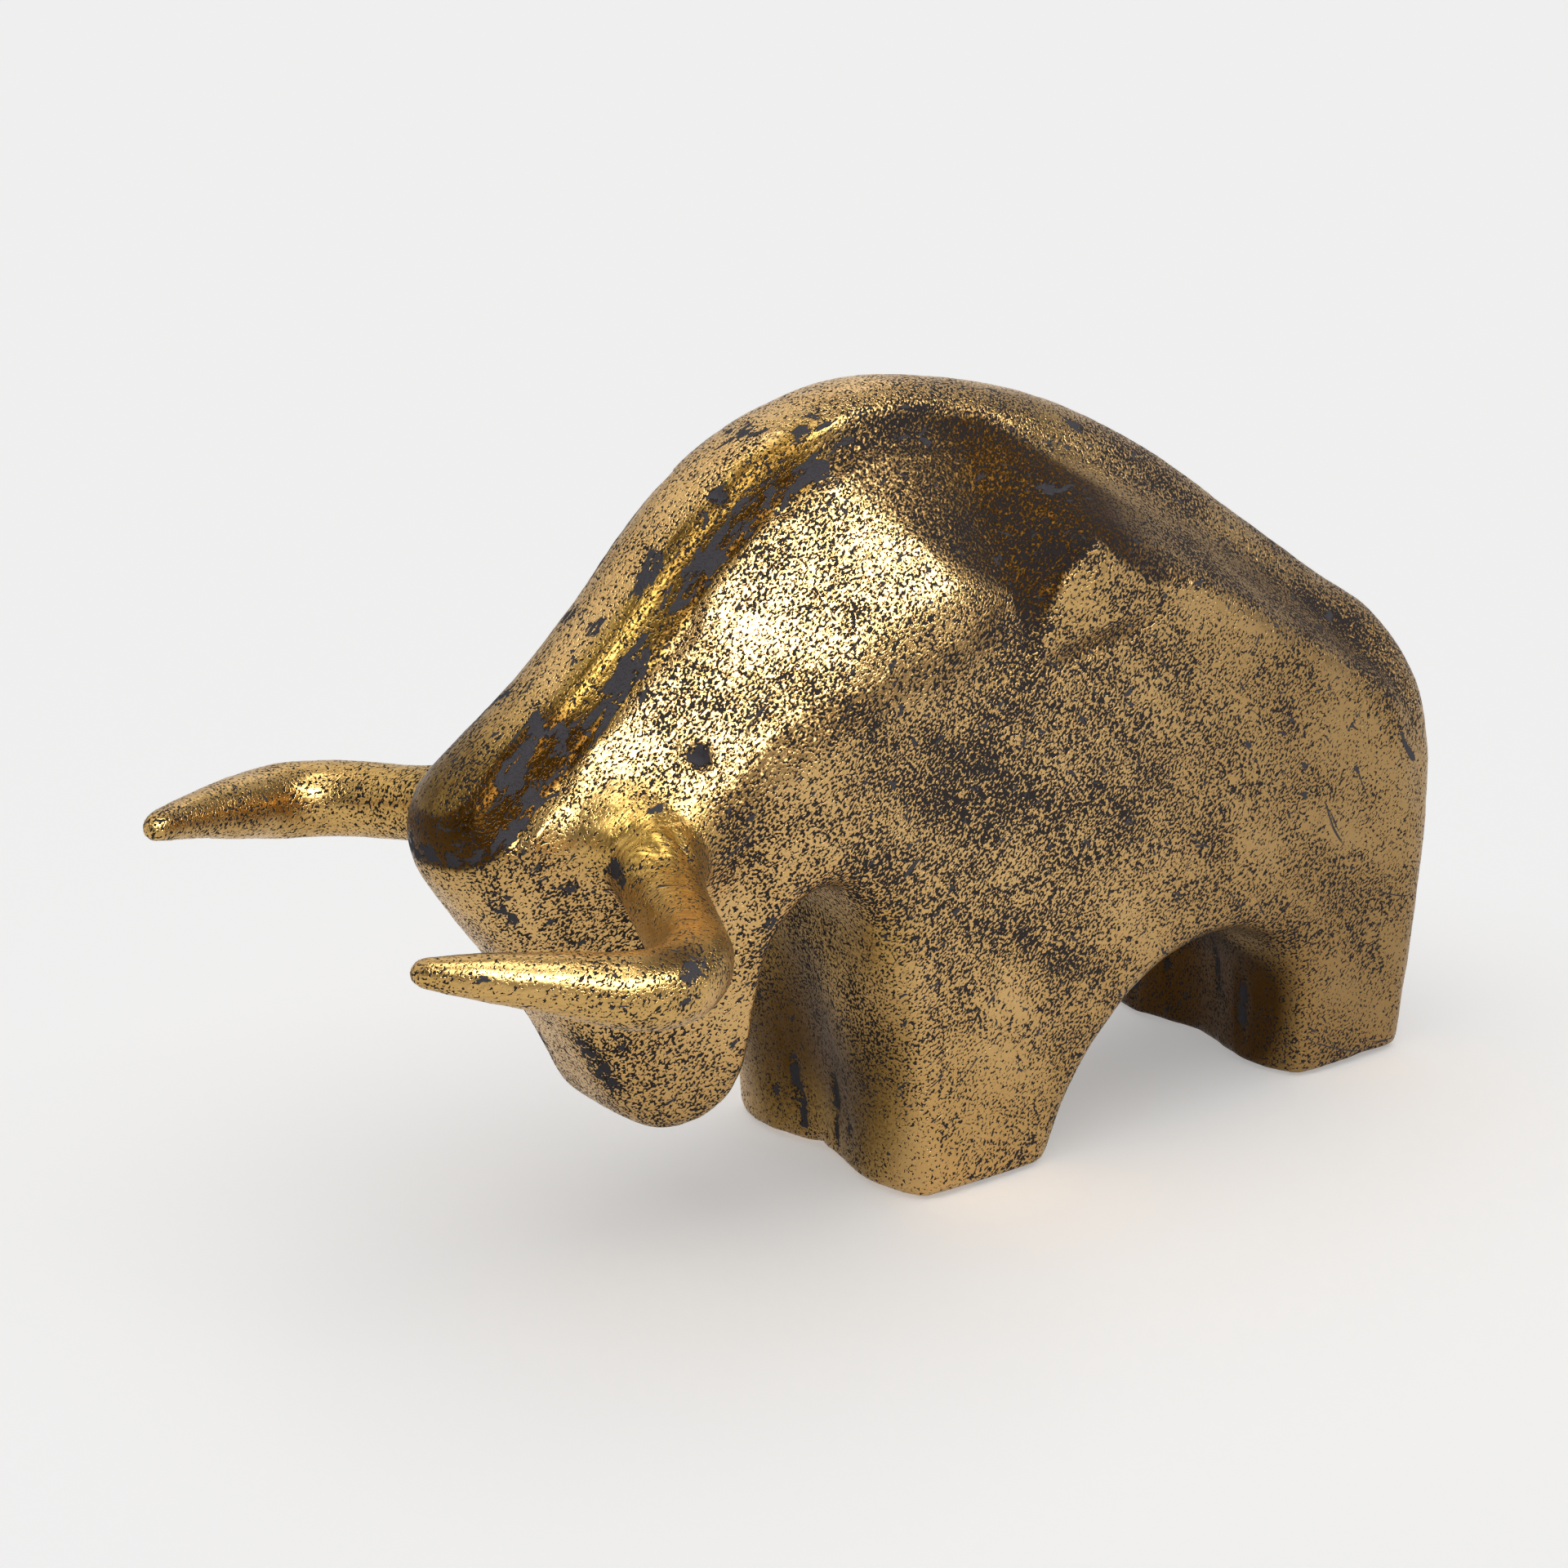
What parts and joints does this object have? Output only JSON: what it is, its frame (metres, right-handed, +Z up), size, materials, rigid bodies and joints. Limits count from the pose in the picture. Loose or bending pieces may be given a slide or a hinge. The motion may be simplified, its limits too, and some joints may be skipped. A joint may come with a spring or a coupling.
{
  "type": "bull sculpture",
  "caption": "Stylised bull as a brass casting, with a humped back, a lowered head and horns that bend forward, standing on flat feet.",
  "frame": {"origin": "middle of the casting's box in plan, on the floor that the feet stand on", "axes": "-X towards the bull's head, +Y towards its right horn, +Z up"},
  "size_m": [0.285, 0.1474, 0.1689],
  "materials": {
    "cast_brass": "sand cast, brushed on the high places, dark patina in the pits"
  },
  "bodies": {
    "root": {"bull": "cast_brass"}
  },
  "joints": []
}
